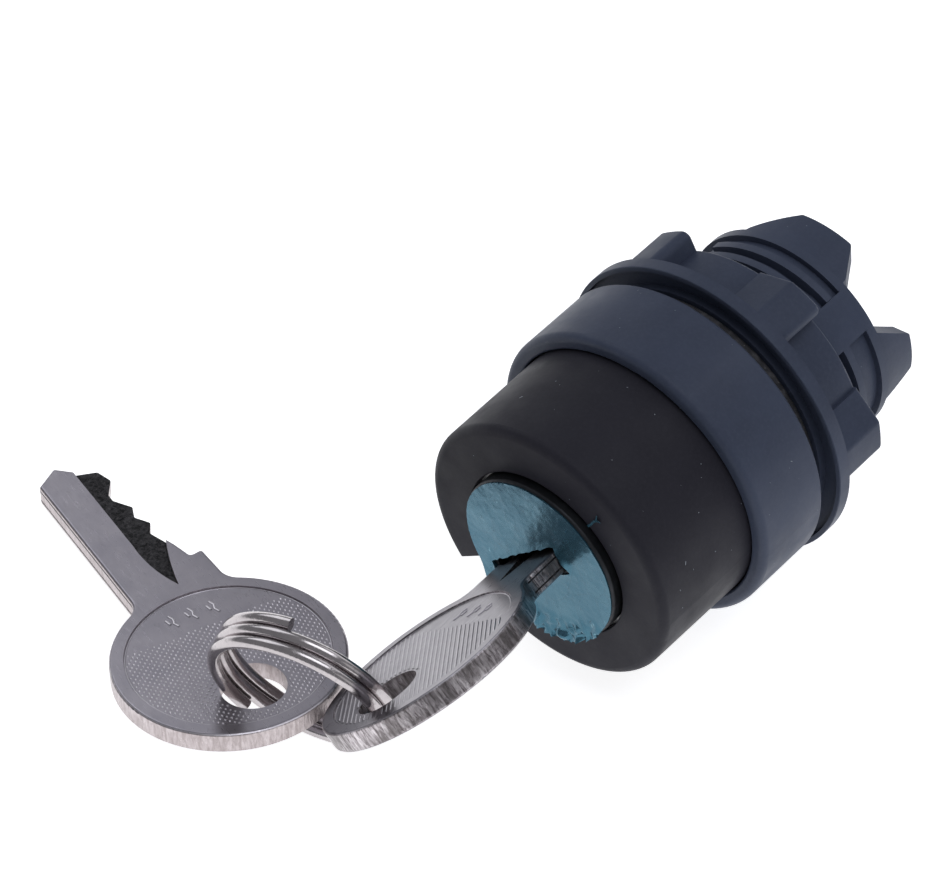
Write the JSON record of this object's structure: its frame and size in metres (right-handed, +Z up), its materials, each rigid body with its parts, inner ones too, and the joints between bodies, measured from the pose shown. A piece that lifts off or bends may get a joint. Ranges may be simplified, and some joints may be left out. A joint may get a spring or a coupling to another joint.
{
  "type": "key selector switch head",
  "caption": "Key-operated selector head for a panel hole: bezel, lock housing, threaded barrel with fixing nut and prongs, and a key and spare key on a split ring.",
  "frame": {"origin": "where the lock axis crosses the bezel's rear face, which bears on the panel", "axes": "+Y along the lock axis from the key towards the panel's rear, +Z up from the surface that the head lies on"},
  "size_m": [0.0615, 0.0691, 0.0298],
  "materials": {
    "slate_moulding": "satin moulded, slightly speckled",
    "black_moulding": "matte moulded, dusty",
    "gasket_rubber": "matte, dusty",
    "seal_rubber": "matte",
    "zinc_casting": "cast and turned, dull",
    "wafer_brass": "stamped, dull",
    "spring_steel": "drawn wire",
    "nickel_key": "nickel plated, stamped and milled",
    "bright_wire": "bright nickel plated",
    "teal_film": "thin satin film, wrinkled and torn",
    "white_acetal": "satin"
  },
  "bodies": {
    "head": {"bezel_ring": "slate_moulding", "lock_housing": "black_moulding", "housing_seal": "seal_rubber", "body_barrel": "slate_moulding", "panel_gasket": "gasket_rubber", "lock_cylinder_shell": "zinc_casting", "plug_seal": "seal_rubber", "pusher_guide": "black_moulding", "pusher_spring_left": "spring_steel", "pusher_spring_right": "spring_steel", "detent_spring": "spring_steel"},
    "rotor": {"lock_plug": "zinc_casting", "face_film": "teal_film", "wafer_tumblers": "wafer_brass", "wafer_springs": "spring_steel", "plug_retaining_clip": "spring_steel", "cam_drum": "white_acetal", "cam_screw": "spring_steel"},
    "key": {"key_inserted": "nickel_key"},
    "ring": {"split_ring": "bright_wire"},
    "spare": {"key_spare": "nickel_key"},
    "left_push": {"pusher_left": "white_acetal"},
    "right_push": {"pusher_right": "white_acetal"},
    "click_pin": {"detent_plunger": "spring_steel"},
    "nut": {"fixing_nut": "slate_moulding"}
  },
  "joints": [
    {"name": "key_turn", "type": "hinge", "parent": "head", "child": "rotor", "pos_m": [0, 0, 0], "axis": [0, 1, 0], "range_deg": [0, 90]},
    {"name": "key_withdraw", "type": "slide", "parent": "rotor", "child": "key", "axis": [0.0165, -0.9997, -0.0156], "range_m": [0, 0.02]},
    {"name": "ring_swing", "type": "hinge", "parent": "key", "child": "ring", "pos_m": [-0.00016, -0.03875, -0.0015], "axis": [0.7252, 0.0227, -0.6882], "range_deg": [-15, 0]},
    {"name": "spare_key_swing", "type": "hinge", "parent": "ring", "child": "spare", "pos_m": [-0.01307, -0.04211, -0.00816], "axis": [-0.136, 0.121, 0.9833], "range_deg": [0, 20]},
    {"name": "left_push_travel", "type": "slide", "parent": "head", "child": "left_push", "axis": [0, 1, 0], "range_m": [0, 0.0025], "deforming": ["pusher_spring_left"]},
    {"name": "right_push_travel", "type": "slide", "parent": "head", "child": "right_push", "axis": [0, 1, 0], "range_m": [0, 0.0025], "deforming": ["pusher_spring_right"]},
    {"name": "click_pin_travel", "type": "slide", "parent": "head", "child": "click_pin", "axis": [0, -1, 0], "range_m": [0, 0.0005], "stiffness_N_per_m": 300, "deforming": ["detent_spring"]},
    {"name": "nut_travel", "type": "slide", "parent": "head", "child": "nut", "axis": [0, 1, 0], "range_m": [0, 0.018]}
  ],
  "couplings": [
    {"joint": "left_push_travel", "follows": "key_turn", "m_per_rad": 0.0015913},
    {"joint": "right_push_travel", "follows": "key_turn", "m_per_rad": 0.0015913}
  ]
}
